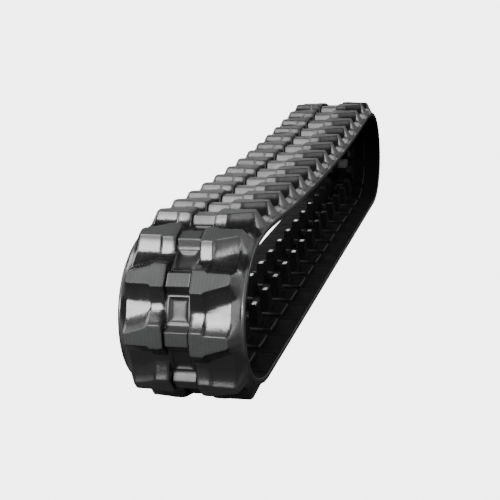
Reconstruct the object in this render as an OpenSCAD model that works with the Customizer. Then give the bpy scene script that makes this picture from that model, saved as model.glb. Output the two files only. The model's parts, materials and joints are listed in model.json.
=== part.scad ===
// Endless rubber track for a small excavator: a rubber belt with moulded tread lugs,
// a forged steel core at every pitch and two bands of steel cord, standing on its lower run.
// Millimetres, +X along the track, +Z up, origin on the floor under the middle of the loop.

/* [Belt] */
// Distance between steel cores along the cords
pitch = 72; // [60:0.5:90]
// Belt width over the side lips
belt_width = 180; // [160:1:230]
// Cord line to the valley floor of the tread
cover_out = 4; // [3:0.5:8]
// Cord line to the inner face of the belt
cover_in = 12; // [10:0.5:16]
// Drop of the outer face from the valley floor to the lip
lip_drop = 8; // [4:0.5:12]
// Half width of the level part of the tread face
level_half = 74; // [60:1:80]

/* [Tread lugs] */
// Cord line to the lug faces
lug_top = 20; // [16:0.5:26]
// Distance from the belt centre to the inner end of a lug
lug_in = 19; // [16:0.5:22]
// Distance from the belt centre to the outer end of a lug face
lug_out = 73; // [60:0.5:76]
// Distance from the belt centre to the step in a lug face
lug_step = 37; // [28:0.5:42]
// Cord line to the top of the centre pads
pad_top = 15; // [11:0.5:18]

/* [Inner side] */
// Cord line to the roller path
path_level = 17; // [14:0.5:20]
// Half width of the roller path
path_half = 54; // [46:1:64]
// Cord line to the tips of the guide lugs
guide_top = 50; // [40:0.5:54]
// Distance from the belt centre to the foot of a guide lug
guide_in = 13; // [12:0.5:20]
// Foot width of a guide lug across the belt
guide_wide = 18; // [14:0.5:24]

/* [Sprocket pockets] */
// Mouth length of a pocket along the belt
pocket_long = 34; // [26:1:40]
// Mouth width of a pocket across the belt
pocket_wide = 28; // [20:1:30]
// Cord line to the outer face of the thin web between the two pockets
web_out = -2; // [-4:0.5:0]
// Cord line to the inner face of the web
web_in = -5; // [-7:0.5:-4]

/* [Loop] */
// Links in the flat lower run on each side of the middle
flat_links = 7; // [6:1:8]
// Share of the end turn taken by each link, from the floor upward
bend_share = [0.69, 1, 1, 1, 0.74, 0.29]; // [0.1:0.01:1.2]
// Angle between the straight lengths of the sagging upper run
sag_step = 1.46; // [0.5:0.02:3]
// Straight lengths of the upper run on each side of the middle, two links each
top_lengths = 3; // [3:1:3]

/* [Steel] */
// Cord diameter
cord_d = 3.2; // [2:0.1:4]
// Cords in each band
cord_count = 6; // [4:1:7]
// Distance between cords
cord_step = 7; // [5:0.5:8]
// Belt centre to the first cord
cord_first = 24; // [20:0.5:28]

/* [Hidden] */
$fn = 48;
// bond line round the steel, and running gap at each flex line
bond = 0.1;
// depth that a separate guide lug is let into the roller path
seat = 1;
gap = 0.05;
// relief of the rubber on both sides of a flex line, degrees
relief_end = 3.4;
relief_top = 4.2;
floor_to_cord = lug_top;
bends = len(bend_share);

// total of the shares up to n, with the shares leaned by t towards the top
function lean(i, t) = bend_share[i] * (1 + t * (i - (bends - 1) / 2));
function lean_sum(i, t) = i < 0 ? 0 : lean(i, t) + lean_sum(i - 1, t);
function over() = sag_step * top_lengths;
// bend of link i of the end turn, degrees
function bend(i, t) = lean(i, t) * (180 + over()) / lean_sum(bends - 1, t);
function turned(i, t) = i <= 0 ? 0 : turned(i - 1, t) + bend(i - 1, t);
function radius(b) = pitch * 180 / (PI * b);
function chord(b) = 2 * radius(b) * sin(b / 2);
// start of link i of the end turn, from the end of the flat run, as [x, z]
function turn_at(i, t) = i <= 0 ? [flat_links * pitch, 0] :
    turn_at(i - 1, t) + chord(bend(i - 1, t)) * [cos(turned(i - 1, t) + bend(i - 1, t) / 2),
                                                 sin(turned(i - 1, t) + bend(i - 1, t) / 2)];
function top_heading(i) = 180 + sag_step * (top_lengths - i - 0.5);
function top_at(i, t) = i <= 0 ? turn_at(bends, t) :
    top_at(i - 1, t) + 2 * pitch * [cos(top_heading(i - 1)), sin(top_heading(i - 1))];
// the lean that closes the loop: the upper run ends over the middle
function close_loop(lo, hi, n) = n == 0 ? (lo + hi) / 2 :
    (top_at(top_lengths, (lo + hi) / 2)[0] > 0) == (top_at(top_lengths, lo)[0] > 0) ?
    close_loop((lo + hi) / 2, hi, n - 1) : close_loop(lo, (lo + hi) / 2, n - 1);
lean_t = close_loop(-0.3, 0.3, 44);

// ---- shapes in a link's own axes: +X along the belt, +Z out of the tread, Z 0 on the cords ----

// solid through stacked outlines, each [height, [points]], all with the same number of points
module stack(layers) {
    n = len(layers[0][1]);
    m = len(layers);
    points = [for (l = layers) for (p = l[1]) [p[0], p[1], l[0]]];
    sides = [for (k = [0 : m - 2]) for (i = [0 : n - 1]) for (h = [0, 1])
        h == 0 ? [k * n + i, (k + 1) * n + i, (k + 1) * n + (i + 1) % n]
               : [k * n + i, (k + 1) * n + (i + 1) % n, k * n + (i + 1) % n]];
    foot = [for (i = [0 : n - 1]) i];
    crown = [for (i = [n - 1 : -1 : 0]) (m - 1) * n + i];
    polyhedron(points = points, faces = concat([foot], sides, [crown]), convexity = 4);
}

// four corners of a block's outline
function oblong(x0, x1, y0, y1) = [[x0, y0], [x1, y0], [x1, y1], [x0, y1]];

// half section of the belt as [height, width], s the side
function belt_half(s) = [
    [cover_out, s * level_half],
    [cover_out - lip_drop, s * (belt_width / 2 - 1)],
    [cover_out - lip_drop - 1.2, s * belt_width / 2],
    [-cover_in + 1.5, s * belt_width / 2],
    [-cover_in, s * (belt_width / 2 - 2)]];

module belt_section() {
    a = belt_half(1);
    b = belt_half(-1);
    polygon(concat(a, [for (i = [len(b) - 1 : -1 : 0]) b[i]]));
}

// sweeps a [height, width] section along one link: an arc bent by b degrees, or straight;
// trim is left off at both ends, in millimetres along the cords
module sweep(b, run, trim = 0) {
    if (b > 0) {
        cut = trim * b / pitch;
        multmatrix([[0, 1, 0, 0], [0, 0, 1, 0], [1, 0, 0, -radius(b)], [0, 0, 0, 1]])
            rotate([0, 0, cut - b / 2])
                rotate_extrude(angle = b - 2 * cut)
                    translate([radius(b), 0])
                        children();
    } else {
        multmatrix([[0, 0, 1, trim - run / 2], [0, 1, 0, 0], [1, 0, 0, 0], [0, 0, 0, 1]])
            linear_extrude(height = run - 2 * trim)
                children();
    }
}

// puts children at the flex line on the e side of a link
module at_end(e, b, run) {
    if (b > 0) {
        translate([0, 0, -radius(b)])
            rotate([0, e * b / 2, 0])
                translate([0, 0, radius(b)])
                    children();
    } else {
        translate([e * run / 2, 0, 0])
            children();
    }
}

// outline of one tread lug face, grown by g along the belt and by w at its outer end
function lug_outline(g, w) = [
    [-20.5 - g, -lug_in + 0.2 * g],
    [-20.5 - g, -lug_step],
    [-18.5 - g, -lug_step - 1.5],
    [-7.2 - g, -lug_out - w],
    [7.2 + g, -lug_out - w],
    [8 + g, -lug_step - 1.5],
    [11.5 + g, -lug_step],
    [11.5 + g, -lug_in + 0.2 * g]];

// a lug on the -Y side: level face, rounded shoulder, flank that spreads into the valley floor
module lug() {
    stack([
        [-cover_in + 8, lug_outline(14, 11.5)],
        [cover_out - 1.5, lug_outline(13.5, 10.5)],
        [cover_out + 4, lug_outline(8, 6.5)],
        [lug_top - 3, lug_outline(2.4, 2)],
        [lug_top, lug_outline(0, 0)]]);
}

module centre_pad() {
    stack([
        [-cover_in + 9, oblong(-17, 17, -17.5, 17.5)],
        [cover_out, oblong(-16, 16, -17, 17)],
        [pad_top - 3, oblong(-11.5, 11.5, -16.5, 16.5)],
        [pad_top, oblong(-9.5, 9.5, -14.5, 14.5)]]);
}

// guide lug on the +Y side, reaching inward; g grows it for the steel horn's pocket
module guide(g, foot, tip, half_foot, half_tip, y0, y1, lean_in) {
    stack([
        [-tip - g, oblong(-half_tip - g, half_tip + g, y0 + lean_in - g, y1 - lean_in + g)],
        [-foot, oblong(-half_foot - g, half_foot + g, y0 - g, y1 + g)]]);
}

// steel core of one link: two wings under the roller path, a bridge and two guide horns
module core_shape(g) {
    for (s = [-1, 1]) {
        translate([-15 - g, s > 0 ? 8 : -51 - g, -12.5 - g])
            cube([30 + 2 * g, 43 + g, 6.5 + 2 * g]);
        scale([1, s, 1])
            guide(g, 8, guide_top - 3, 12, 6.5, guide_in + 3, guide_in + guide_wide - 3, 2.5);
    }
    translate([-10 - g, -20, -15 - g])
        cube([20 + 2 * g, 40, 10 + 2 * g]);
}

// one band of cords as circles in the [height, width] section
module cord_marks(g) {
    for (s = [-1, 1])
        for (i = [0 : cord_count - 1])
            translate([0, s * (cord_first + i * cord_step)])
                circle(d = cord_d + 2 * g);
}

// rectangle as long and wide as a pocket's mouth, less a at each end and w at each side
function mouth(a, w) = oblong(
    -pocket_long / 2 + a, pocket_long / 2 - a,
    -pocket_wide / 2 + w, pocket_wide / 2 - w);

// half pockets in both faces at a flex line
module pockets() {
    stack([
        [web_out, mouth(6, 4.5)],
        [cover_out + 3, mouth(0, 0)],
        [lug_top + 4, mouth(-1, 0)]]);
    stack([
        [-cover_in - 9, mouth(1, 0)],
        [-cover_in, mouth(1, 0)],
        [web_in, mouth(4, 2)]]);
}

// what is cut away past a flex line, with the rubber relieved above and below the cords
module past_flex(e, relief) {
    t = tan(relief / 2);
    scale([e, 1, 1])
        rotate([90, 0, 0])
            linear_extrude(height = belt_width + 20, center = true)
                polygon([[-gap, 0], [-gap - 40 * t, 40], [60, 40], [60, -70], [-gap - 70 * t, -70]]);
}

// lugs, centre pad and roller path of one core
module moulded() {
    lug();
    rotate([0, 0, 180])
        lug();
    centre_pad();
    stack([
        [-path_level, oblong(-23.5, 23.5, -path_half + 1, path_half - 1)],
        [-cover_in + 3, oblong(-25, 25, -path_half, path_half)]]);
}

// the two guide lugs of one core, from foot down to the tips
module guide_pair(foot, half_foot) {
    for (s = [-1, 1])
        scale([1, s, 1])
            guide(0, foot, guide_top, half_foot, 10, guide_in, guide_in + guide_wide, 3);
}

// rubber of one bent link
module rubber_link(b) {
    color([0.05, 0.05, 0.05])
        difference() {
            union() {
                sweep(b, pitch)
                    belt_section();
                moulded();
                guide_pair(path_level - 3, 16.5);
            }
            core_shape(bond);
            sweep(b, pitch, -1)
                cord_marks(bond);
            for (e = [-1, 1])
                at_end(e, b, pitch) {
                    pockets();
                    past_flex(e, relief_end);
                }
        }
}

// seats in the roller path of one core, for guide lugs that are separate pieces
module guide_seats() {
    outline = oblong(-16 - bond, 16 + bond, guide_in - bond, guide_in + guide_wide + bond);
    for (s = [-1, 1])
        scale([1, s, 1])
            stack([
                [-path_level - 2, outline],
                [-path_level + seat, outline]]);
}

// rubber of a straight run of n links, with its guide lugs or with seats for them
module rubber_run(n, relief, guides = true) {
    color([0.05, 0.05, 0.05])
        difference() {
            union() {
                sweep(0, n * pitch)
                    belt_section();
                for (i = [0 : n - 1])
                    translate([(i - (n - 1) / 2) * pitch, 0, 0]) {
                        moulded();
                        if (guides)
                            guide_pair(path_level - 3, 16.5);
                    }
            }
            for (i = [0 : n - 1])
                translate([(i - (n - 1) / 2) * pitch, 0, 0]) {
                    core_shape(bond);
                    if (!guides)
                        guide_seats();
                }
            sweep(0, n * pitch, -1)
                cord_marks(bond);
            for (i = [0 : n])
                translate([(i - n / 2) * pitch, 0, 0])
                    pockets();
            for (e = [-1, 1])
                at_end(e, 0, n * pitch)
                    past_flex(e, relief);
        }
}

// guide lugs of a straight run of n links, standing in the seats of its roller path
module guides_run(n) {
    color([0.05, 0.05, 0.05])
        for (i = [0 : n - 1])
            translate([(i - (n - 1) / 2) * pitch, 0, 0])
                difference() {
                    guide_pair(path_level - seat, 16);
                    core_shape(bond);
                }
}

module cores_run(n) {
    color([0.45, 0.46, 0.48])
        for (i = [0 : n - 1])
            translate([(i - (n - 1) / 2) * pitch, 0, 0])
                core_shape(0);
}

module cords_link(b, run) {
    color([0.55, 0.5, 0.35])
        sweep(b, run, 0.2)
            cord_marks(0);
}

// ---- places on the loop; side -1 is the near end, 1 the far end ----

module place(side, p, heading) {
    translate([side * p[0], 0, floor_to_cord + p[1]])
        rotate([0, side > 0 ? 180 - heading : heading + 180, 0])
            children();
}

module on_floor() {
    place(-1, [0, 0], 0)
        children();
}

// middle of link i of an end turn
module on_turn(side, i) {
    b = bend(i, lean_t);
    h = turned(i, lean_t);
    m = h + b / 2;
    place(side, turn_at(i, lean_t) + radius(b) * [sin(m) - sin(h), cos(h) - cos(m)], m)
        children();
}

// middle of straight length i of the upper run
module on_top(side, i) {
    place(side, (top_at(i, lean_t) + top_at(i + 1, lean_t)) / 2, top_heading(i))
        children();
}

module turn_bend_rubber(side, i) {
    on_turn(side, i)
        rubber_link(bend(i, lean_t));
}

module turn_core(side, i) {
    on_turn(side, i)
        cores_run(1);
}

module turn_cords(side, i) {
    on_turn(side, i)
        cords_link(bend(i, lean_t), pitch);
}

module top_rubber(side, i) {
    on_top(side, i)
        rubber_run(2, relief_top);
}

module top_cores(side, i) {
    on_top(side, i)
        cores_run(2);
}

module top_cords(side, i) {
    on_top(side, i)
        cords_link(0, 2 * pitch);
}

module rubber_bottom() {
    on_floor()
        rubber_run(2 * flat_links, relief_end, false);
}

module guide_lugs_bottom() {
    on_floor()
        guides_run(2 * flat_links);
}

module cores_bottom() {
    on_floor()
        cores_run(2 * flat_links);
}

module cords_bottom() {
    on_floor()
        cords_link(0, 2 * flat_links * pitch);
}

module rubber_near_1() {
    turn_bend_rubber(-1, 0);
}

module core_near_1() {
    turn_core(-1, 0);
}

module cords_near_1() {
    turn_cords(-1, 0);
}

module rubber_near_2() {
    turn_bend_rubber(-1, 1);
}

module core_near_2() {
    turn_core(-1, 1);
}

module cords_near_2() {
    turn_cords(-1, 1);
}

module rubber_near_3() {
    turn_bend_rubber(-1, 2);
}

module core_near_3() {
    turn_core(-1, 2);
}

module cords_near_3() {
    turn_cords(-1, 2);
}

module rubber_near_4() {
    turn_bend_rubber(-1, 3);
}

module core_near_4() {
    turn_core(-1, 3);
}

module cords_near_4() {
    turn_cords(-1, 3);
}

module rubber_near_5() {
    turn_bend_rubber(-1, 4);
}

module core_near_5() {
    turn_core(-1, 4);
}

module cords_near_5() {
    turn_cords(-1, 4);
}

module rubber_near_6() {
    turn_bend_rubber(-1, 5);
}

module core_near_6() {
    turn_core(-1, 5);
}

module cords_near_6() {
    turn_cords(-1, 5);
}

module rubber_near_top_1() {
    top_rubber(-1, 0);
}

module cores_near_top_1() {
    top_cores(-1, 0);
}

module cords_near_top_1() {
    top_cords(-1, 0);
}

module rubber_near_top_2() {
    top_rubber(-1, 1);
}

module cores_near_top_2() {
    top_cores(-1, 1);
}

module cords_near_top_2() {
    top_cords(-1, 1);
}

module rubber_near_top_3() {
    top_rubber(-1, 2);
}

module cores_near_top_3() {
    top_cores(-1, 2);
}

module cords_near_top_3() {
    top_cords(-1, 2);
}

module rubber_far_1() {
    turn_bend_rubber(1, 0);
}

module core_far_1() {
    turn_core(1, 0);
}

module cords_far_1() {
    turn_cords(1, 0);
}

module rubber_far_2() {
    turn_bend_rubber(1, 1);
}

module core_far_2() {
    turn_core(1, 1);
}

module cords_far_2() {
    turn_cords(1, 1);
}

module rubber_far_3() {
    turn_bend_rubber(1, 2);
}

module core_far_3() {
    turn_core(1, 2);
}

module cords_far_3() {
    turn_cords(1, 2);
}

module rubber_far_4() {
    turn_bend_rubber(1, 3);
}

module core_far_4() {
    turn_core(1, 3);
}

module cords_far_4() {
    turn_cords(1, 3);
}

module rubber_far_5() {
    turn_bend_rubber(1, 4);
}

module core_far_5() {
    turn_core(1, 4);
}

module cords_far_5() {
    turn_cords(1, 4);
}

module rubber_far_6() {
    turn_bend_rubber(1, 5);
}

module core_far_6() {
    turn_core(1, 5);
}

module cords_far_6() {
    turn_cords(1, 5);
}

module rubber_far_top_1() {
    top_rubber(1, 0);
}

module cores_far_top_1() {
    top_cores(1, 0);
}

module cords_far_top_1() {
    top_cords(1, 0);
}

module rubber_far_top_2() {
    top_rubber(1, 1);
}

module cores_far_top_2() {
    top_cores(1, 1);
}

module cords_far_top_2() {
    top_cords(1, 1);
}

module rubber_far_top_3() {
    top_rubber(1, 2);
}

module cores_far_top_3() {
    top_cores(1, 2);
}

module cords_far_top_3() {
    top_cords(1, 2);
}

rubber_bottom();
guide_lugs_bottom();
cores_bottom();
cords_bottom();
rubber_near_1();
core_near_1();
cords_near_1();
rubber_near_2();
core_near_2();
cords_near_2();
rubber_near_3();
core_near_3();
cords_near_3();
rubber_near_4();
core_near_4();
cords_near_4();
rubber_near_5();
core_near_5();
cords_near_5();
rubber_near_6();
core_near_6();
cords_near_6();
rubber_near_top_1();
cores_near_top_1();
cords_near_top_1();
rubber_near_top_2();
cores_near_top_2();
cords_near_top_2();
rubber_near_top_3();
cores_near_top_3();
cords_near_top_3();
rubber_far_1();
core_far_1();
cords_far_1();
rubber_far_2();
core_far_2();
cords_far_2();
rubber_far_3();
core_far_3();
cords_far_3();
rubber_far_4();
core_far_4();
cords_far_4();
rubber_far_5();
core_far_5();
cords_far_5();
rubber_far_6();
core_far_6();
cords_far_6();
rubber_far_top_1();
cores_far_top_1();
cords_far_top_1();
rubber_far_top_2();
cores_far_top_2();
cords_far_top_2();
rubber_far_top_3();
cores_far_top_3();
cords_far_top_3();
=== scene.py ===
"""Rubber track of a small excavator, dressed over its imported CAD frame."""

import json
import logging
import math
from dataclasses import dataclass, field
from enum import Enum
from typing import Any, Sequence

import bpy
import numpy as np
from mathutils import Matrix, Vector


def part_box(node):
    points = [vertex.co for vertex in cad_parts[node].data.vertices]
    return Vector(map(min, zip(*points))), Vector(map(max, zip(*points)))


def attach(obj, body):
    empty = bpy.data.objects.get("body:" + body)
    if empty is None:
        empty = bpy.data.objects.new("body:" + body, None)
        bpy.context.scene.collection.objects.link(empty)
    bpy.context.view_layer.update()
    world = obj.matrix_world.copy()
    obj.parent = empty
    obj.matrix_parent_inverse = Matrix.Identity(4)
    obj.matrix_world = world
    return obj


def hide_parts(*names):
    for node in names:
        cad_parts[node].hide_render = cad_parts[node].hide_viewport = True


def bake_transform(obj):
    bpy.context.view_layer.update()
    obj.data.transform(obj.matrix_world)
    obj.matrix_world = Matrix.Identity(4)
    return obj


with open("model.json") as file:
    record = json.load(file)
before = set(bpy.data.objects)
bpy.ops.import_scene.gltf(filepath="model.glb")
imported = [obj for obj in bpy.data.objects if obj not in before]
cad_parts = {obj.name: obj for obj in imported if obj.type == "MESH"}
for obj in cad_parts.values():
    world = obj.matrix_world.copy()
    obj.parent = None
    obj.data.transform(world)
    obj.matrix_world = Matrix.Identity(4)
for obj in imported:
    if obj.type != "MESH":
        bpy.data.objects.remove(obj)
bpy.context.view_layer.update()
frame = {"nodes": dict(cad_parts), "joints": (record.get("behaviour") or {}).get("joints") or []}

log = logging.getLogger("rubber_track")

MM = 0.001
# one pitch of the belt and the half of it that a core's middle is from a flex line, millimetres
PITCH = 72.0
HALF = PITCH / 2
# rows of vertices from a core's middle to its flex line
ROWS = 21
# half of the running gap where the loop is open, millimetres
OPEN_GAP = 0.05
# width of the camera's sensor, millimetres
SENSOR = 36.0
# first words of the CAD nodes that are rubber; every other node is steel
MOULDED = ("rubber", "guide")
Array = np.ndarray


# ---------------------------------------------------------------- small helpers


def linear(hex_colour: str) -> tuple[float, float, float, float]:
    """Turns an sRGB hex colour into linear light.

    Args:
        hex_colour: Six hex digits, with or without a leading mark.

    Returns:
        Red, green, blue and a full alpha.
    """
    digits = hex_colour.lstrip("#")
    parts = [int(digits[i:i + 2], 16) / 255 for i in (0, 2, 4)]
    light = [p / 12.92 if p <= 0.04045 else ((p + 0.055) / 1.055) ** 2.4 for p in parts]
    return light[0], light[1], light[2], 1.0


def smooth(t: Array) -> Array:
    """Returns the smoothstep of t held between 0 and 1."""
    t = np.clip(t, 0.0, 1.0)
    return t * t * (3 - 2 * t)


def soft_min(values: Sequence[Array], rounding: float) -> Array:
    """Takes the lowest of several heights and rounds off where they meet.

    Args:
        values: Arrays of one shape.
        rounding: How far the rounding reaches, in millimetres.

    Returns:
        The rounded minimum.
    """
    low = np.minimum.reduce(list(values))
    total = sum(np.exp(-(v - low) / rounding) for v in values)
    return low - rounding * np.log(total)


def add_node(tree: bpy.types.NodeTree, kind: str, settings: dict[str, Any] | None = None,
             links: dict[str, bpy.types.NodeSocket] | None = None) -> bpy.types.Node:
    """Adds one shader node.

    Args:
        tree: The node tree it goes into.
        kind: Blender's type name without the "ShaderNode" at its front.
        settings: Property names, or "in:NAME" for an input socket's own value.
        links: Input names or numbers and the output sockets that feed them.

    Returns:
        The new node.
    """
    node = tree.nodes.new("ShaderNode" + kind)
    for name, value in (settings or {}).items():
        if name.startswith("in:"):
            key = name[3:]
            node.inputs[int(key) if key.isdigit() else key].default_value = value
        else:
            setattr(node, name, value)
    for name, socket in (links or {}).items():
        tree.links.new(socket, node.inputs[int(name) if name.isdigit() else name])
    return node


def band_scale(spacing_mm: float) -> float:
    """Returns the Wave texture scale that repeats once every spacing_mm."""
    return 2 * math.pi / 20 / (spacing_mm * MM)


# ---------------------------------------------------------------- finishes


class Zone(Enum):
    """Point attributes that say how the mould finished each part of the belt, and where the inner side gets
    painted shade.
    """

    CONTACT = "contact_face"
    INSIDE = "inner_side"
    VALLEY = "polished_valley"
    FLANK = "outer_flank"
    FAN = "flank_angle"
    PLACE = "belt_place"


@dataclass(frozen=True)
class MouldedRubber:
    """Carbon-black natural rubber, compression moulded in a steel mould."""

    name: str = "natural_rubber_compression_moulded"
    bulk: str = "#0f0f10"
    contact: str = "#272828"
    dust_and_shade: str = "#070708"
    valley_rough: float = 0.23
    flank_rough: float = 0.56
    side_rough: float = 0.46
    inside_rough: float = 0.85
    contact_rough: float = 0.66
    valley_gloss: float = 1.0
    side_gloss: float = 0.5
    contact_gloss: float = 0.42
    inside_gloss: float = 0.07
    marks: str = "#0c0c0d"
    trim_spacing_mm: float = 5.2
    fan_spacing_mm: float = 90.0
    grain_mm: float = 1.6
    cloud_mm: float = 45.0

    def make(self) -> bpy.types.Material:
        """Builds the material: matte charcoal faces, polished valleys, satin flanks and inside, with painted
        shade darkening the inner side.

        Returns:
            The material, which reads its zones from the mesh.
        """
        mat = bpy.data.materials.new(self.name)
        mat.use_nodes = True
        tree = mat.node_tree
        tree.nodes.clear()
        out = add_node(tree, "OutputMaterial")
        place = add_node(tree, "Attribute", {"attribute_name": Zone.PLACE.value}).outputs["Vector"]
        masks = {z: add_node(tree, "Attribute", {"attribute_name": z.value}).outputs["Fac"]
                 for z in (Zone.CONTACT, Zone.INSIDE, Zone.VALLEY, Zone.FLANK, Zone.FAN)}
        # moulding grain is finer than it can show, so it is drawn a few times coarser
        grain = add_node(tree, "TexNoise", {"in:Scale": 1 / (self.grain_mm * MM), "in:Detail": 4.0},
                         {"Vector": place}).outputs["Fac"]
        # broad clouding from release agent and handling, about the size of a palm
        cloud = add_node(tree, "TexNoise", {"in:Scale": 1 / (self.cloud_mm * MM), "in:Detail": 5.0,
                                           "in:Roughness": 0.62}, {"Vector": place}).outputs["Fac"]
        # cutter lines left in the mould, running along the belt on the ground faces
        trim = add_node(tree, "TexWave", {"bands_direction": "Y", "in:Scale": band_scale(self.trim_spacing_mm),
                                          "in:Distortion": 0.6, "in:Detail": 1.0},
                        {"Vector": place}).outputs["Fac"]
        trim_line = add_node(tree, "MapRange", {"in:From Min": 0.0, "in:From Max": 0.22,
                                                "in:To Min": 1.0, "in:To Max": 0.0},
                             {"Value": trim}).outputs["Result"]
        trim_on = add_node(tree, "Math", {"operation": "MULTIPLY"},
                           {"0": trim_line, "1": masks[Zone.CONTACT]}).outputs[0]
        # file marks that fan out from the end of each lug over its outer flank
        fan_at = add_node(tree, "CombineXYZ", {}, {"X": masks[Zone.FAN]}).outputs[0]
        fan = add_node(tree, "TexWave", {"in:Scale": band_scale(self.fan_spacing_mm), "in:Distortion": 0.0},
                       {"Vector": fan_at}).outputs["Fac"]
        fan_line = add_node(tree, "MapRange", {"in:From Min": 0.0, "in:From Max": 0.16,
                                               "in:To Min": 1.0, "in:To Max": 0.0},
                            {"Value": fan}).outputs["Result"]
        fan_on = add_node(tree, "Math", {"operation": "MULTIPLY"},
                          {"0": fan_line, "1": masks[Zone.FLANK]}).outputs[0]
        # colour: bloom makes the ground faces charcoal, the rest stays carbon black
        cloud_mix = add_node(tree, "MapRange", {"in:From Min": 0.3, "in:From Max": 0.75,
                                                "in:To Min": 0.72, "in:To Max": 1.0},
                             {"Value": cloud}).outputs["Result"]
        bloom = add_node(tree, "Math", {"operation": "MULTIPLY"},
                         {"0": cloud_mix, "1": masks[Zone.CONTACT]}).outputs[0]
        flank_bloom = add_node(tree, "Math", {"operation": "MULTIPLY_ADD", "in:1": 0.8},
                               {"0": masks[Zone.FLANK], "2": bloom}).outputs[0]
        colour = add_node(tree, "Mix", {"data_type": "RGBA", "in:6": linear(self.bulk),
                                        "in:7": linear(self.contact)},
                          {"0": flank_bloom}).outputs[2]
        lined = add_node(tree, "Math", {"operation": "ADD", "use_clamp": True},
                         {"0": trim_on, "1": fan_on}).outputs[0]
        # painted shade: the inner side is coloured darker than the bulk rubber to stand for the shade inside
        # the loop
        colour = add_node(tree, "Mix", {"data_type": "RGBA", "in:7": linear(self.dust_and_shade)},
                          {"0": masks[Zone.INSIDE], "6": colour}).outputs[2]
        marks = add_node(tree, "Math", {"operation": "MULTIPLY", "in:1": 0.3}, {"0": lined}).outputs[0]
        colour = add_node(tree, "Mix", {"data_type": "RGBA", "in:7": linear(self.marks)},
                          {"0": marks, "6": colour}).outputs[2]
        # roughness by zone, stirred by the clouding
        rough_bare = add_node(tree, "Mix", {"in:2": self.side_rough, "in:3": self.inside_rough},
                              {"0": masks[Zone.INSIDE]}).outputs[0]
        rough_flank = add_node(tree, "Mix", {"in:3": self.flank_rough},
                               {"0": masks[Zone.FLANK], "2": rough_bare}).outputs[0]
        rough_valley = add_node(tree, "Mix", {"in:3": self.valley_rough},
                                {"0": masks[Zone.VALLEY], "2": rough_flank}).outputs[0]
        rough_face = add_node(tree, "Mix", {"in:3": self.contact_rough},
                              {"0": masks[Zone.CONTACT], "2": rough_valley}).outputs[0]
        stir = add_node(tree, "MapRange", {"in:From Min": 0.3, "in:From Max": 0.7,
                                           "in:To Min": -0.05, "in:To Max": 0.07},
                        {"Value": cloud}).outputs["Result"]
        rough = add_node(tree, "Math", {"operation": "ADD", "use_clamp": True},
                         {"0": rough_face, "1": stir}).outputs[0]
        # relief: grain on the matte zones, slow waves in the polished ones, lines cut in
        matte = add_node(tree, "Math", {"operation": "SUBTRACT", "in:0": 1.0, "use_clamp": True},
                         {"1": masks[Zone.VALLEY]}).outputs[0]
        grain_on = add_node(tree, "Math", {"operation": "MULTIPLY"}, {"0": grain, "1": matte}).outputs[0]
        bump_grain = add_node(tree, "Bump", {"in:Strength": 0.35, "in:Distance": 0.0004},
                              {"Height": grain_on}).outputs[0]
        bump_wave = add_node(tree, "Bump", {"in:Strength": 0.5, "in:Distance": 0.0022},
                             {"Height": cloud, "Normal": bump_grain}).outputs[0]
        bump_line = add_node(tree, "Bump", {"in:Strength": 0.25, "in:Distance": 0.0004, "invert": True},
                             {"Height": lined, "Normal": bump_wave}).outputs[0]
        # dust from the release powder stays on the inner side and dulls its gloss
        gloss_out = add_node(tree, "MapRange", {"in:To Min": self.side_gloss, "in:To Max": self.valley_gloss},
                             {"Value": masks[Zone.VALLEY]}).outputs["Result"]
        gloss_face = add_node(tree, "Mix", {"in:3": self.contact_gloss},
                              {"0": masks[Zone.CONTACT], "2": gloss_out}).outputs[0]
        gloss = add_node(tree, "Mix", {"in:3": self.inside_gloss},
                         {"0": masks[Zone.INSIDE], "2": gloss_face}).outputs[0]
        shader = add_node(tree, "BsdfPrincipled", {"in:IOR": 1.52},
                          {"Base Color": colour, "Roughness": rough, "Normal": bump_line,
                           "Specular IOR Level": gloss})
        tree.links.new(shader.outputs[0], out.inputs["Surface"])
        return mat


@dataclass(frozen=True)
class PatternedMetal:
    """A metal whose colour and roughness come from one noise at the size of its working marks.

    Attributes:
        name: The material's name.
        low: Colour in the marks.
        high: Colour between them.
        rough: Roughness in the marks and between them.
        mark_mm: Size of a mark, millimetres.
        metallic: How much of the metal shows through its coat.
    """

    name: str
    low: str
    high: str
    rough: tuple[float, float]
    mark_mm: float
    metallic: float

    def make(self) -> bpy.types.Material:
        """Builds the material.

        Returns:
            The material, which reads its place from the object.
        """
        mat = bpy.data.materials.new(self.name)
        mat.use_nodes = True
        tree = mat.node_tree
        tree.nodes.clear()
        out = add_node(tree, "OutputMaterial")
        place = add_node(tree, "TexCoord").outputs["Object"]
        marks = add_node(tree, "TexNoise", {"in:Scale": 1 / (self.mark_mm * MM), "in:Detail": 4.0},
                         {"Vector": place}).outputs["Fac"]
        colour = add_node(tree, "Mix", {"data_type": "RGBA", "in:6": linear(self.low),
                                        "in:7": linear(self.high)}, {"0": marks}).outputs[2]
        rough = add_node(tree, "MapRange", {"in:To Min": self.rough[0], "in:To Max": self.rough[1]},
                         {"Value": marks}).outputs["Result"]
        bump = add_node(tree, "Bump", {"in:Strength": 0.3, "in:Distance": 0.0003},
                        {"Height": marks}).outputs[0]
        shader = add_node(tree, "BsdfPrincipled", {"in:Metallic": self.metallic},
                          {"Base Color": colour, "Roughness": rough, "Normal": bump})
        tree.links.new(shader.outputs[0], out.inputs["Surface"])
        return mat


# drop-forged carbon steel under primer: dull grey with a coarse scale
FORGED_STEEL = PatternedMetal("carbon_steel_forged_primed", "#3b3c3e", "#58595b", (0.45, 0.7), 2.5, 0.6)
# drawn wire with a brass coat for the bond to rubber: a warm, finely streaked sheen
CORD_WIRE = PatternedMetal("steel_wire_drawn_brass_coated", "#7d6b3c", "#a8945c", (0.25, 0.4), 1.2, 1.0)


# ---------------------------------------------------------------- the loop


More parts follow.
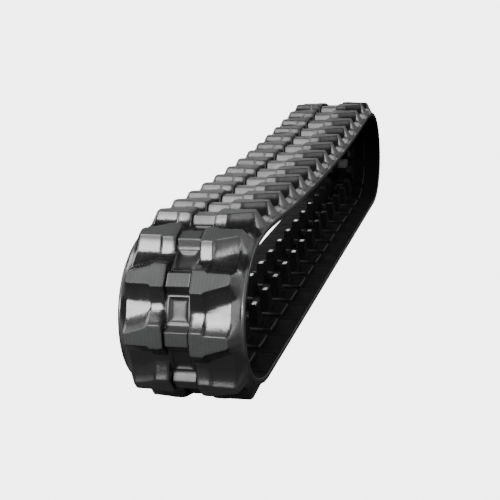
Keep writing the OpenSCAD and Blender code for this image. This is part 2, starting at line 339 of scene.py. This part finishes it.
@dataclass(frozen=True)
class Link:
    """One pitch of the belt: its middle on the cord line, its heading and its bend.

    Attributes:
        x: Middle of the link along X, millimetres.
        z: Middle of the link along Z, millimetres.
        turn: Rotation of the link's axes about Y, radians.
        bend: How far the cord line turns over the link, radians.
        body: CAD body that carries it.
    """

    x: float
    z: float
    turn: float
    bend: float
    body: str

    def to_frame(self, s: Array, z: Array, stiff: Array, pitch: float) -> tuple[Array, Array]:
        """Places points given in the link's own axes.

        Args:
            s: Distance along the cords from the link's middle, millimetres.
            z: Height out of the tread from the cord line, millimetres.
            stiff: 1 where the rubber stays straight over its core, 0 where it follows the bend.
            pitch: Length of a link, millimetres.

        Returns:
            X and Z in the row frame, millimetres.
        """
        along, up = s.copy(), z.copy()
        if self.bend > 1e-6:
            radius = pitch / self.bend
            bent_x = (radius + z) * np.sin(s / radius)
            bent_z = (radius + z) * np.cos(s / radius) - radius
            along = stiff * s + (1 - stiff) * bent_x
            up = stiff * z + (1 - stiff) * bent_z
        c, n = math.cos(self.turn), math.sin(self.turn)
        return self.x + c * along + n * up, self.z - n * along + c * up


@dataclass
class Loop:
    """The standing loop: links in order from under the middle, round the near end and back."""

    joints: dict[str, tuple[float, float]] = field(default_factory=dict)
    links: list[Link] = field(default_factory=list)
    pitch: float = 0.0
    cord_height: float = 0.0
    floor_links: int = 0

    def read(self, joints: Sequence[dict[str, Any]]) -> "Loop":
        """Lays the links through the joints of the record.

        Args:
            joints: The record's joints.

        Returns:
            The loop itself.
        """
        self.joints = {j["name"]: (j["pos_m"][0] / MM, j["pos_m"][2] / MM) for j in joints}
        a, b = (np.array(self.joints[f"flex_near_top_{i}"]) for i in (2, 3))
        self.pitch = float(np.linalg.norm(b - a)) / 2
        self.cord_height = self.joints["flex_near_turn_1"][1]
        self.floor_links = round(-self.joints["flex_near_turn_1"][0] / self.pitch)
        near = self._half("near")
        far = self._half("far")
        self.links = near + far[::-1]
        return self

    def _half(self, side: str) -> list[Link]:
        """Lays one half's links from under the middle to over it.

        Args:
            side: "near" or "far".

        Returns:
            The links in order.
        """
        sign = -1.0 if side == "near" else 1.0

        def link(p: Array, heading: float, bend: float, body: str) -> Link:
            """Makes a link of this half.

            Args:
                p: Its middle, outward and upward, millimetres.
                heading: Its heading in the half's own outward axes, radians.
                bend: How far the cord line turns over it, radians.
                body: CAD body that carries it.

            Returns:
                The link in the row frame.
            """
            turn = heading + math.pi if side == "near" else math.pi - heading
            return Link(sign * p[0], p[1], turn, bend, body)

        found = [link(np.array([(i + 0.5) * self.pitch, self.cord_height]), 0.0, 0.0, "bottom_run")
                 for i in range(self.floor_links)]
        points = [np.array([abs(self.joints[f"flex_{side}_{n}"][0]), self.joints[f"flex_{side}_{n}"][1]])
                  for n in self.names()]
        heading = 0.0
        turns = sum(n.startswith("turn") for n in self.names())
        for i in range(turns):
            step = points[i + 1] - points[i]
            chord = math.atan2(step[1], step[0]) % (2 * math.pi)
            bend = 2 * (chord - heading)
            radius = self.pitch / bend
            middle = points[i] + radius * np.array([math.sin(chord) - math.sin(heading),
                                                    math.cos(heading) - math.cos(chord)])
            found.append(link(middle, chord, bend, f"{side}_turn_{i + 1}"))
            heading += bend
        for i in range(turns, len(points)):
            if i + 1 < len(points):
                end = points[i + 1]
            else:
                # the open pivot lies over the loop's middle, one two-pitch body from the last flex line
                x = points[i][0]
                end = np.array([0.0, points[i][1] - math.sqrt(max((2 * self.pitch) ** 2 - x * x, 0.0))])
            step = end - points[i]
            way = math.atan2(step[1], step[0]) % (2 * math.pi)
            for share in (0.25, 0.75):
                found.append(link(points[i] + step * share, way, 0.0, f"{side}_top_{i - turns + 1}"))
        return found

    @staticmethod
    def names() -> list[str]:
        """Returns the flex line names of a half, from the floor upward."""
        return [f"turn_{i}" for i in range(1, 7)] + [f"top_{i}" for i in range(1, 4)]


# ---------------------------------------------------------------- the belt's surface


@dataclass(frozen=True)
class Tread:
    """Outer face of one pitch, in millimetres from the cord line and the belt's middle."""

    floor: float = 4.0
    middle_dip: float = 1.4
    lug_in: float = 19.0
    lug_step: float = 37.0
    lug_out: float = 73.0
    wide_end: float = 20.5
    narrow_end: float = 11.5
    outer_half: float = 7.2
    corner: float = 3.0
    crease: float = 74.0
    rim: float = 83.6
    lip: float = 89.0
    lip_drop: float = 8.0
    pad_top: float = 15.0
    pad_half: float = 9.5
    pad_side: float = 14.5
    pad_last: float = 16.5
    pocket_half: float = 17.0
    pocket_side: float = 14.0
    pocket_depth: float = 6.0

    def reach(self, side: float, way: int) -> float:
        """Finds how far a lug's face reaches from the link's middle.

        Args:
            side: Distance across the belt, signed.
            way: 1 ahead of the link's middle, -1 behind it.

        Returns:
            The reach before its corners are rounded.
        """
        ay = abs(side)
        if way * side > 0:
            return float(np.interp(ay, [self.lug_step, self.lug_step + 3.5, self.lug_out],
                                   [self.wide_end, self.wide_end - 3.2, self.outer_half]))
        return float(np.interp(ay, [self.lug_step, self.lug_step + 3.0, self.lug_out],
                               [self.narrow_end, self.narrow_end - 3.4, self.outer_half]))

    def past_end(self, ay: float) -> float:
        """Finds how far a column lies past a lug's end, the corner radius taken in.

        Args:
            ay: Distance of the column from the belt's middle.

        Returns:
            The distance, negative well inside the lug.
        """
        if ay > self.lug_out:
            return self.corner + (ay - self.lug_out) * 1.2
        if ay < self.lug_in:
            return self.corner + (self.lug_in - ay) * 6.0
        return max(ay - (self.lug_out - self.corner), (self.lug_in + self.corner) - ay)

    def face_edge(self, side: float, way: int) -> float:
        """Finds where the rounded face ends along the belt.

        Args:
            side: Distance across the belt, signed.
            way: 1 ahead of the link's middle, -1 behind it.

        Returns:
            Distance from the link's middle.
        """
        reach = self.reach(side, way) - self.corner
        over = self.past_end(abs(side))
        return reach + math.sqrt(max(self.corner ** 2 - max(over, 0.0) ** 2, 0.0))

    @staticmethod
    def lug_rise(d: Array) -> Array:
        """Returns a lug's height over the valley at a distance d from its face."""
        return np.interp(d, [-1.0, 0.0, 0.5, 1.1, 1.9, 3.0, 4.6, 6.6, 9.0, 12.0, 15.5, 19.0, 24.0],
                         [16.0, 16.0, 15.85, 15.3, 14.1, 12.3, 9.9, 7.4, 5.0, 2.9, 1.3, 0.45, 0.0])

    @staticmethod
    def end_rise(d: Array) -> Array:
        """Returns the flatter flank at the outer end of a lug, at a distance d from its face."""
        return np.interp(d, [-1.0, 0.0, 0.6, 1.6, 15.0, 17.0], [16.0, 16.0, 15.7, 14.8, 0.4, 0.0])

    @staticmethod
    def pad_rise(d: Array) -> Array:
        """Returns a centre pad's height over the floor at a distance d from its face."""
        return np.interp(d, [0.0, 0.3, 0.8, 1.6, 3.0, 4.6, 6.4, 8.0],
                         [11.0, 10.9, 10.4, 9.0, 6.2, 3.0, 0.6, 0.0])

    def rows(self, side: float, way: int) -> Array:
        """Lists where the rows of a column lie, from the link's middle to its end.

        Args:
            side: Distance of the column across the belt.
            way: 1 ahead of the link's middle, -1 behind it.

        Returns:
            Distances along the belt, one for each row.
        """
        edge = self.face_edge(side, way)
        shrink = min(1.0, (HALF - edge) / 19.0)
        flank = edge + shrink * np.array([0.5, 1.1, 1.9, 3.0, 4.6, 6.6, 9.0, 12.0, 15.5])
        lug = np.concatenate([np.linspace(0, edge, 5), flank, np.linspace(flank[-1], HALF, 8)[1:]])
        pad = np.array([0, 2.5, 5, 7.8, 9.5, 9.8, 10.3, 11.1, 12.5, 14.1, 15.9, 17.2, 18.2, 19.0,
                        19.8, 21.0, 22.6, 24.6, 28.4, 32.2, HALF])
        t = float(np.clip((abs(side) - self.pad_last) / (self.lug_in - self.pad_last), 0, 1))
        return (1 - t) * pad + t * lug

    def end_share(self, s: Array, side: float, way: int) -> Array:
        """Finds how squarely points lie past a lug's outer end.

        Args:
            s: Distances from the link's middle.
            side: Distance of the column across the belt, signed.
            way: 1 ahead of the link's middle, -1 behind it.

        Returns:
            1 straight beyond the end, 0 beside the lug.
        """
        over = max(self.past_end(abs(side)), 0.1)
        beside = np.maximum(s - (self.reach(side, way) - self.corner), 0.0)
        return over ** 2 / (over ** 2 + beside ** 2)

    def height(self, s: Array, side: float, way: int) -> tuple[Array, Array, Array]:
        """Works out the tread's height along one column.

        Args:
            s: Distances from the link's middle, never negative.
            side: Distance of the column across the belt, signed.
            way: 1 ahead of the link's middle, -1 behind it.

        Returns:
            Height over the cords, distance from the lug's face, and the height of the bare floor.
        """
        ay = abs(side)
        over = max(self.past_end(ay), 0.0)

        def off(s_from: Array, direction: int) -> Array:
            """Measures how far points lie from a lug's face.

            Args:
                s_from: Distances from the lug's middle.
                direction: 1 on the side ahead of that middle, -1 behind it.

            Returns:
                Distances from the face, negative on it.
            """
            q = np.maximum(s_from - (self.reach(side, direction) - self.corner), 0.0)
            return np.hypot(q, over) - self.corner

        def rise(s_from: Array, direction: int, d: Array) -> Array:
            """Finds a lug's height, with the flatter flank taking over past its outer end.

            Args:
                s_from: Distances from the lug's middle.
                direction: 1 on the side ahead of that middle, -1 behind it.
                d: Distances from the lug's face.

            Returns:
                Heights over the valley.
            """
            if ay <= self.lug_out:
                return self.lug_rise(d)
            share = self.end_share(s_from, side, direction)
            beyond = float(smooth(np.array((ay - self.lug_out) / 1.2)))
            return self.lug_rise(d) + beyond * share * (self.end_rise(d) - self.lug_rise(d))

        own, next_one = off(s, way), off(PITCH - s, -way)
        floor = np.full_like(s, self.floor)
        floor -= self.middle_dip * smooth(np.array((25.0 - ay) / 9.0))
        floor -= float(np.interp(ay, [self.crease, self.rim, self.lip],
                                 [0.0, self.lip_drop - 1.4, self.lip_drop]))
        z = floor + rise(s, way, own) + rise(PITCH - s, -way, next_one)
        beside = 0.0 if ay <= self.pad_side else (ay - self.pad_side) * 0.6
        if ay > self.pad_last:
            beside += (ay - self.pad_last) * 9.0
        pad_d = np.hypot(np.maximum(s - self.pad_half, 0.0), beside)
        z = z + self.pad_rise(pad_d) * (self.pad_top - self.floor + self.middle_dip) / self.pad_rise(0.0)
        inside = np.minimum(self.pocket_half - (HALF - s), self.pocket_side - ay)
        z = z - np.interp(inside, [0.0, 0.5, 1.4, 3.4, 5.2, 14.0],
                          [0.0, 0.4, 1.6, 3.3, 3.9, self.pocket_depth - self.middle_dip]) * (inside > 0)
        return z, own, floor


@dataclass(frozen=True)
class Inside:
    """Inner face of one pitch: roller path pads, guide lugs and sprocket pockets, in millimetres."""

    level: float = -12.0
    path: float = -17.0
    path_half: float = 53.0
    path_reach: float = 23.5
    guide_foot: tuple[float, float, float] = (16.5, 13.0, 31.0)
    guide_tip: tuple[float, float, float] = (10.0, 16.0, 28.0)
    guide_start: float = 14.0
    guide_top: float = 50.0
    pocket_reach: float = 16.0
    pocket_side: float = 14.0
    web: float = -5.0
    row_marks: tuple[float, ...] = (
        0, 5, 8.6, 9.6, 10.2, 11.2, 13.0, 14.8, 15.6, 16.4, 18.2, 19.6, 20.2, 21.2, 22.8, 23.5, 24.3, 26.5,
        33.2, 34.8, HALF)

    def height(self, s: Array, side: float) -> Array:
        """Works out the inner face's height along one column.

        Args:
            s: Distances from the link's middle, never negative.
            side: Distance of the column across the belt, signed.

        Returns:
            Height over the cords, negative.
        """
        ay = abs(side)
        z = np.full_like(s, self.level)
        edge = np.minimum(self.path_reach - s, self.path_half - ay)
        z = z - (self.level - self.path) * np.interp(edge, [-0.8, 0.0, 0.5], [0.0, 0.86, 1.0])
        if 56.0 < ay < 86.0:
            # low seam at the flex line, outside the roller path
            z = z - 0.45 * np.interp(s, [33.2, 34.8, HALF], [0.0, 1.0, 1.0])
        foot, tip, start = self.guide_foot, self.guide_tip, self.guide_start
        rise = self.guide_top - start
        ramps = [start + rise * (foot[0] - s) / (foot[0] - tip[0]),
                 np.full_like(s, start + rise * (ay - foot[1]) / (tip[1] - foot[1])),
                 np.full_like(s, start + rise * (foot[2] - ay) / (foot[2] - tip[2]))]
        guide = -soft_min(ramps + [np.full_like(s, self.guide_top + 0.9)], 0.8)
        z = np.minimum(z, np.maximum(guide, -self.guide_top))
        mouth = np.minimum(self.pocket_reach - (HALF - s), self.pocket_side - ay)
        floor = np.interp(mouth, [0.0, 0.4, 2.8, 4.0], [self.level, -9.8, -5.4, self.web])
        return np.where(mouth > 0, np.maximum(z, floor), z)

    def wear_and_shade(self, s: Array, z: Array, side: float) -> tuple[Array, Array]:
        """Finds where rollers and sprocket have rubbed the dusty inner side.

        Args:
            s: Distances from the link's middle, never negative.
            z: Heights over the cords.
            side: Distance of the column across the belt, signed.

        Returns:
            Share of dusty surface, which the rubber also darkens as painted shade, and share of polish, 0 to
            1.
        """
        ay = abs(side)
        lo, hi = self.guide_tip[1] + 3.0, self.guide_tip[2] - 2.0
        tip = (z < 0.6 - self.guide_top) & (s < 8.0) & (lo < ay < hi)
        web = (ay < self.pocket_side) & (s > HALF - self.pocket_reach)
        across = (ay < self.path_half + 0.2) & (abs(s - self.path_reach) < 0.3)
        along = (abs(ay - self.path_half + 0.1) < 0.3) & (s < self.path_reach + 0.1)
        zones = [tip, across | along, web]
        return np.select(zones, [0.0, 0.55, 0.5], 1.0), np.select(zones, [0.8, 0.45, 0.4], 0.0)


@dataclass
class BeltSurface:
    """The belt's closed skin: columns across the belt, rows along it."""

    loop: Loop
    half_width: float
    tread: Tread = field(default_factory=Tread)
    inside: Inside = field(default_factory=Inside)
    outer_columns: tuple[float, ...] = (
        0, 3.5, 7, 9.5, 11.4, 12.8, 13.6, 14.0, 14.5, 15.1, 15.9, 16.5, 16.8, 17.2, 17.7, 18.2, 18.6,
        18.85, 19.05, 19.3, 19.8, 20.6, 22, 25, 29, 33, 36, 37, 38, 39, 40.4, 43, 48, 54, 60, 65, 69,
        70.5, 71.6, 72.4, 72.8, 73.0, 73.4, 73.8, 74.3, 75.2, 76.6, 78.4, 80.6, 83.2, 85.6, 86.8, 87.2,
        87.8, 88.2, 89.0)
    inner_columns: tuple[float, ...] = (
        88, 87, 84, 80, 74, 68, 62, 57, 54.6, 53.8, 53.0, 52.5, 51.4, 48, 44, 40, 36, 33, 31.4, 30.9,
        30.4, 29.6, 28.8, 28.3, 27.8, 26.8, 24.6, 22, 19.6, 17.4, 16.4, 15.9, 15.4, 14.8, 14.2, 13.8,
        13.4, 12.9, 12.5, 12.0, 11.2, 10.0, 7, 3.5, 0)

    def ring(self) -> list[tuple[str, float, float]]:
        """Lists the columns round the section.

        Returns:
            Face, distance across the belt and, on the sides, height of each column.
        """
        out, inn = self.outer_columns, self.inner_columns
        b = self.half_width
        found = [("outer", -y, 0.0) for y in out[:0:-1]] + [("outer", y, 0.0) for y in out]
        rim = [(b - 0.35, -4.6), (b, -5.4), (b, -7.9), (b, -10.2), (b - 0.7, -11.4)]
        found += [("side", y, z) for y, z in rim]
        found += [("inner", y, 0.0) for y in inn] + [("inner", -y, 0.0) for y in inn[-2::-1]]
        found += [("side", -y, z) for y, z in rim[::-1]]
        return found

    def half_cell(self, link: Link, way: int, base: float) -> dict[str, Array]:
        """Lays the rows from a link's middle to one of its ends.

        Args:
            link: The link.
            way: 1 ahead of its middle, -1 behind it.
            base: Distance along the belt of the link's middle, for the patterns.

        Returns:
            Arrays of shape (rows, columns) and (rows, columns, 3) by name.
        """
        ring = self.ring()
        s, z, stiff, contact, valley, flank, fan, dust_and_shade = np.zeros((8, ROWS, len(ring)))
        tread, inside = self.tread, self.inside
        for c, (face, y, side_z) in enumerate(ring):
            ay = abs(y)
            if face == "outer":
                at = tread.rows(y, way)
                height, off, floor = tread.height(at, y, way)
                if 86.9 < ay < 88.0:
                    # fine bead along the lip, where the mould halves met
                    height = height + 0.35
                s[:, c], z[:, c] = at, height
                stiff[:, c] = smooth((height - floor - 0.8) / 8.0)
                face_on = (off <= 0.02) & (tread.lug_in <= ay <= tread.lug_out)
                pad_on = (at <= tread.pad_half) & (ay <= tread.pad_side)
                contact[:, c] = np.where(face_on, 1.0, np.where(pad_on, 0.8, 0.0))
                outer = float(smooth(np.array((ay - 72.8) / 1.6)))
                low = 1 - smooth((height - floor - 5.0) / 9.0)
                fanned = smooth((tread.end_share(at, y, way) - 0.25) / 0.45)
                valley[:, c] = (0.25 + 0.75 * low) * (1 - outer) + outer * (1 - fanned)
                if ay < 17.0:
                    valley[:, c] = np.where(at > HALF - tread.pocket_half, 0.15, 0.3 * valley[:, c])
                flank[:, c] = outer * fanned
                fan[:, c] = np.degrees(np.arctan2(way * at, ay - 58.0)) * 0.015
            elif face == "inner":
                at = np.array(inside.row_marks, float)
                s[:, c] = at
                z[:, c] = inside.height(at, y)
                stiff[:, c] = smooth((inside.level - 0.6 - z[:, c]) / 3.0)
                # the dusty share also sets where the inner side is darkened as painted shade
                dust_and_shade[:, c], valley[:, c] = inside.wear_and_shade(at, z[:, c], y)
            else:
                s[:, c] = np.linspace(0, HALF, ROWS)
                z[:, c] = side_z
        y = np.broadcast_to(np.array([r[1] for r in ring]), s.shape)
        x, up = link.to_frame(way * s, z, stiff, self.loop.pitch)
        data = {"co": np.stack([x, y, up], -1), "contact": contact, "valley": valley, "flank": flank,
                "fan": fan, "inside": dust_and_shade, "place": np.stack([base + way * s, y, z], -1) * MM}
        if way < 0:
            data = {k: v[::-1] for k, v in data.items()}
        return data


@dataclass
class BeltPiece:
    """A length of the belt between two core middles, or from one to the open end.

    Attributes:
        name: The piece's name.
        first: Number of the link in whose middle it starts.
        count: How many pitches long it is.
        stands_for: CAD nodes that it replaces.
        bodies: The body it rides on, or the two on either side of its flex line, in order along the belt; only
            a piece without a flex line is joined to its body.
        joint: The flex line it bends at, if any.
        open_end: 1 or -1 if it is the half pitch ahead of or behind the link's middle.
    """

    name: str
    first: int
    count: int
    stands_for: tuple[str, ...]
    bodies: tuple[str, ...]
    joint: str | None = None
    open_end: int = 0

    def build(self, surface: BeltSurface, rubber: bpy.types.Material) -> bpy.types.Object:
        """Builds the mesh, dresses it and, if it has no flex line, joins it to its body.

        Args:
            surface: The belt's surface.
            rubber: Its material.

        Returns:
            The finished object.
        """
        rows = self._rows(surface)
        mesh = self._mesh(rows)
        obj = bpy.data.objects.new(self.name, mesh)
        bpy.context.scene.collection.objects.link(obj)
        obj.data.materials.append(rubber)
        if self.joint is None:
            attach(obj, self.bodies[0])
        else:
            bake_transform(obj)
        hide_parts(*self.stands_for)
        return obj

    def _rows(self, surface: BeltSurface) -> dict[str, Array]:
        """Joins the half cells of the piece, one row shared at each flex line.

        Args:
            surface: The belt's surface.

        Returns:
            Arrays of shape (rows, columns) and (rows, columns, 3) by name.
        """
        links = surface.loop.links
        n = len(links)
        parts: list[dict[str, Array]] = []
        pitch = surface.loop.pitch
        if self.open_end:
            way = self.open_end
            cell = surface.half_cell(links[self.first % n], way, self.first * pitch)
            cell["co"] = cell["co"].copy()
            cell["co"][-1 if way > 0 else 0, :, 0] = -way * OPEN_GAP
            return cell
        for i in range(self.count):
            a = surface.half_cell(links[(self.first + i) % n], 1, (self.first + i) * pitch)
            b = surface.half_cell(links[(self.first + i + 1) % n], -1, (self.first + i + 1) * pitch)
            shared = (a["co"][-1] + b["co"][0]) / 2
            a["co"] = np.concatenate([a["co"][:-1], shared[None]])
            parts.append(a if i == 0 else {k: v[1:] for k, v in a.items()})
            parts.append({k: v[1:] for k, v in b.items()})
        return {k: np.concatenate([p[k] for p in parts]) for k in parts[0]}

    def _mesh(self, rows: dict[str, Array]) -> bpy.types.Mesh:
        """Turns rows and columns into a closed mesh with its zone attributes.

        Args:
            rows: Arrays by name, as _rows gives them.

        Returns:
            The mesh, smooth but for the edges of its two cut ends.
        """
        co = rows["co"] * MM
        r, c = co.shape[:2]
        index = np.arange(r * c).reshape(r, c)
        a, b = index[:-1], index[1:]
        right_a, right_b = np.roll(a, -1, 1), np.roll(b, -1, 1)
        quads = np.stack([a, right_a, right_b, b], -1).reshape(-1, 4)
        faces = quads.tolist() + [index[0][::-1].tolist(), index[-1].tolist()]
        mesh = bpy.data.meshes.new(self.name)
        mesh.from_pydata(co.reshape(-1, 3).tolist(), [], faces)
        for key, zone in (("contact", Zone.CONTACT), ("inside", Zone.INSIDE), ("valley", Zone.VALLEY),
                          ("flank", Zone.FLANK), ("fan", Zone.FAN)):
            layer = mesh.attributes.new(zone.value, "FLOAT", "POINT")
            layer.data.foreach_set("value", rows[key].astype(np.float32).ravel())
        layer = mesh.attributes.new(Zone.PLACE.value, "FLOAT_VECTOR", "POINT")
        layer.data.foreach_set("vector", rows["place"].astype(np.float32).ravel())
        mesh.polygons.foreach_set("use_smooth", [True] * len(mesh.polygons))
        ends = set()
        for ring in (index[0], index[-1]):
            ends |= {frozenset((int(p), int(q))) for p, q in zip(ring, np.roll(ring, -1))}
        sharp = mesh.attributes.new("sharp_edge", "BOOLEAN", "EDGE")
        sharp.data.foreach_set("value", [frozenset(e.vertices) in ends for e in mesh.edges])
        mesh.validate()
        mesh.update()
        return mesh


# ---------------------------------------------------------------- assemblies


@dataclass
class Belt:
    """The whole rubber belt as pieces that bend at the flex lines."""

    loop: Loop
    rubber: bpy.types.Material

    def pieces(self) -> list[BeltPiece]:
        """Lists the pieces: the lower run, then each half from the floor upward.

        Returns:
            The pieces, each with its bodies and the CAD nodes it stands for.
        """
        floor = self.loop.floor_links
        total = len(self.loop.links)
        lower = tuple(n for n in frame["nodes"] if n.startswith(MOULDED) and n.endswith("_bottom"))
        found = [BeltPiece("belt_bottom_run", total - floor, 2 * floor - 1, lower, ("bottom_run",))]
        for side in ("near", "far"):
            below = "bottom_run"
            at = floor - 1
            for name in self.loop.names():
                body = f"{side}_{name}"
                count = 1 if name.startswith("turn") else 2
                near = side == "near"
                first = at if near else total - 1 - at - count
                node = f"rubber_{side}_{name.replace('turn_', '')}"
                bodies = (below, body) if near else (body, below)
                found.append(BeltPiece(f"belt_{body}", first, count, (node,), bodies, f"flex_{body}"))
                at += count
                below = body
            first, way = (at, 1) if side == "near" else (total - 1 - at, -1)
            found.append(BeltPiece(f"belt_{side}_open_end", first, 1, (), (below,), None, way))
        return found

    def build(self) -> None:
        """Builds every piece and reports it."""
        low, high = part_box("rubber_bottom")
        surface = BeltSurface(self.loop, (high.y - low.y) / 2 / MM)
        for piece in self.pieces():
            obj = piece.build(surface, self.rubber)
            log.info("%s: %d faces", obj.name, len(obj.data.polygons))


@dataclass
class Steel:
    """Cores and cords inside the belt, kept as CAD and given their finishes."""

    def dress(self) -> None:
        """Puts the steel finishes on the CAD nodes."""
        core, cord = FORGED_STEEL.make(), CORD_WIRE.make()
        for name, obj in frame["nodes"].items():
            if name.startswith(MOULDED):
                continue
            obj.data.materials.clear()
            obj.data.materials.append(core if name.startswith("core") else cord)
        log.info("steel: %d nodes dressed", sum(not n.startswith(MOULDED) for n in frame["nodes"]))


@dataclass
class SoftBox:
    """A rectangular soft light.

    Attributes:
        name: What it is called.
        place: Where it stands, metres.
        aim: The point that it faces, metres.
        size: Width and height, metres.
        power: Watts.
    """

    name: str
    place: tuple[float, float, float]
    aim: tuple[float, float, float]
    size: tuple[float, float]
    power: float

    def build(self) -> None:
        """Adds the light to the scene."""
        data = bpy.data.lights.new(self.name, "AREA")
        data.shape = "RECTANGLE"
        data.size, data.size_y = self.size
        data.energy = self.power
        obj = bpy.data.objects.new(self.name, data)
        obj.location = self.place
        obj.rotation_euler = (Vector(self.aim) - Vector(self.place)).to_track_quat("-Z", "Y").to_euler()
        bpy.context.scene.collection.objects.link(obj)


@dataclass
class Studio:
    """Pale floor and wall, soft light and the camera.

    Attributes:
        place: Where the camera stands, metres.
        yaw: Its turn from +X, degrees.
        down: Its tilt below level, degrees.
        roll: Its roll, degrees.
        focal_share: Focal length in sensor widths.
        paper: Colour of floor and wall as they are looked at.
        paper_light: How brightly they are lit.
        floor_shade: Colour of the floor as the rubber mirrors it.
        surround: Strength of the dim light from all round.
    """

    place: tuple[float, float, float] = (-1.8747, -0.4637, 0.6371)
    yaw: float = 15.964
    down: float = 16.498
    roll: float = -3.474
    focal_share: float = 2.118
    paper: str = "#fbfbfb"
    paper_light: float = 5.0
    floor_shade: str = "#4a4a4a"
    surround: float = 0.02

    def build(self) -> None:
        """Builds floor, lights, world and camera."""
        self._floor()
        self._lights()
        self._camera()
        log.info("studio built")

    def _floor(self) -> None:
        """Lays a large pale floor under the loop."""
        mat = bpy.data.materials.new("studio_floor_matt_paint")
        mat.use_nodes = True
        tree = mat.node_tree
        tree.nodes.clear()
        # pale to look at, but a dark sheet in the glossy rubber, as a floor in shade is
        shade = add_node(tree, "BsdfDiffuse", {"in:Color": linear(self.floor_shade)}).outputs[0]
        self._paper_over(tree, "Emission", shade, add_node(tree, "OutputMaterial"))
        mesh = bpy.data.meshes.new("studio_floor")
        mesh.from_pydata([(-30, -30, 0), (30, -30, 0), (30, 30, 0), (-30, 30, 0)], [], [(0, 1, 2, 3)])
        floor = bpy.data.objects.new("studio_floor", mesh)
        mesh.materials.append(mat)
        bpy.context.scene.collection.objects.link(floor)
        floor.location.z = -0.0005

    def _paper_over(self, tree: bpy.types.NodeTree, kind: str, under: bpy.types.NodeSocket,
                    out: bpy.types.Node) -> None:
        """Lays the evenly lit paper over a shader where it is looked at.

        Args:
            tree: The floor's or the world's node tree.
            kind: Node that gives light there.
            under: What the rest of the scene receives.
            out: The tree's output node.
        """
        pale = add_node(tree, kind, {"in:Color": linear(self.paper),
                                     "in:Strength": self.paper_light}).outputs[0]
        direct = add_node(tree, "LightPath").outputs["Is Camera Ray"]
        both = add_node(tree, "MixShader", {}, {"0": direct, "1": under, "2": pale}).outputs[0]
        tree.links.new(both, out.inputs["Surface"])

    def _lights(self) -> None:
        """Sets the softboxes and the dim surround."""
        world = bpy.data.worlds.new("studio_surround")
        bpy.context.scene.world = world
        world.use_nodes = True
        tree = world.node_tree
        dim = tree.nodes["Background"]
        dim.inputs["Color"].default_value = linear("#ffffff")
        dim.inputs["Strength"].default_value = self.surround
        # pale wall behind, seen past the floor's edge in low views
        self._paper_over(tree, "Background", dim.outputs[0], tree.nodes["World Output"])
        for box in (
            SoftBox("front_low_box", (-2.72, 0.95, 1.62), (-0.62, 0.0, 0.14), (1.7, 2.0), 165.0),
            SoftBox("front_high_box", (-1.6, 0.8, 2.3), (-0.6, 0.0, 0.2), (1.3, 0.7), 45.0),
            SoftBox("front_wide_box", (-2.1, -0.6, 2.0), (-0.6, 0.0, 0.2), (2.2, 1.2), 16.0),
            SoftBox("rear_box", (3.0, 1.0, 0.95), (0.0, 0.0, 0.2), (1.6, 0.8), 24.0),
            SoftBox("rear_right_box", (3.2, -0.7, 1.05), (0.0, 0.0, 0.2), (1.3, 0.7), 5.0),
            SoftBox("right_fill_box", (-1.6, -2.1, 0.85), (-0.5, 0.0, 0.15), (2.6, 1.3), 30.0),
            SoftBox("right_side_box", (1.0, -2.6, 1.5), (0.1, 0.0, 0.15), (2.8, 1.2), 70.0),
            SoftBox("left_side_box", (0.6, 2.6, 1.6), (0.0, 0.0, 0.15), (3.0, 1.2), 60.0),
        ):
            box.build()

    def _camera(self) -> None:
        """Places the camera and makes it the scene's own."""
        yaw, down, roll = (math.radians(a) for a in (self.yaw, self.down, self.roll))
        ahead = Vector((math.cos(yaw) * math.cos(down), math.sin(yaw) * math.cos(down), -math.sin(down)))
        right = Vector((math.sin(yaw), -math.cos(yaw), 0.0))
        up = right.cross(ahead)
        side = math.cos(roll) * right + math.sin(roll) * up
        top = -math.sin(roll) * right + math.cos(roll) * up
        data = bpy.data.cameras.new("camera")
        data.sensor_width = SENSOR
        data.lens = SENSOR * self.focal_share
        cam = bpy.data.objects.new("camera", data)
        turn = Matrix((side, top, -ahead)).transposed().to_4x4()
        cam.matrix_world = Matrix.Translation(Vector(self.place)) @ turn
        bpy.context.scene.collection.objects.link(cam)
        bpy.context.scene.camera = cam


def main() -> None:
    """Builds the belt, the steel and the studio in that order."""
    logging.basicConfig(level=logging.INFO, format="%(name)s: %(message)s")
    loop = Loop().read(frame["joints"])
    log.info("loop: %d links of %.3f mm", len(loop.links), loop.pitch)
    Belt(loop, MouldedRubber().make()).build()
    Steel().dress()
    Studio().build()


if __name__ == "__main__":
    main()
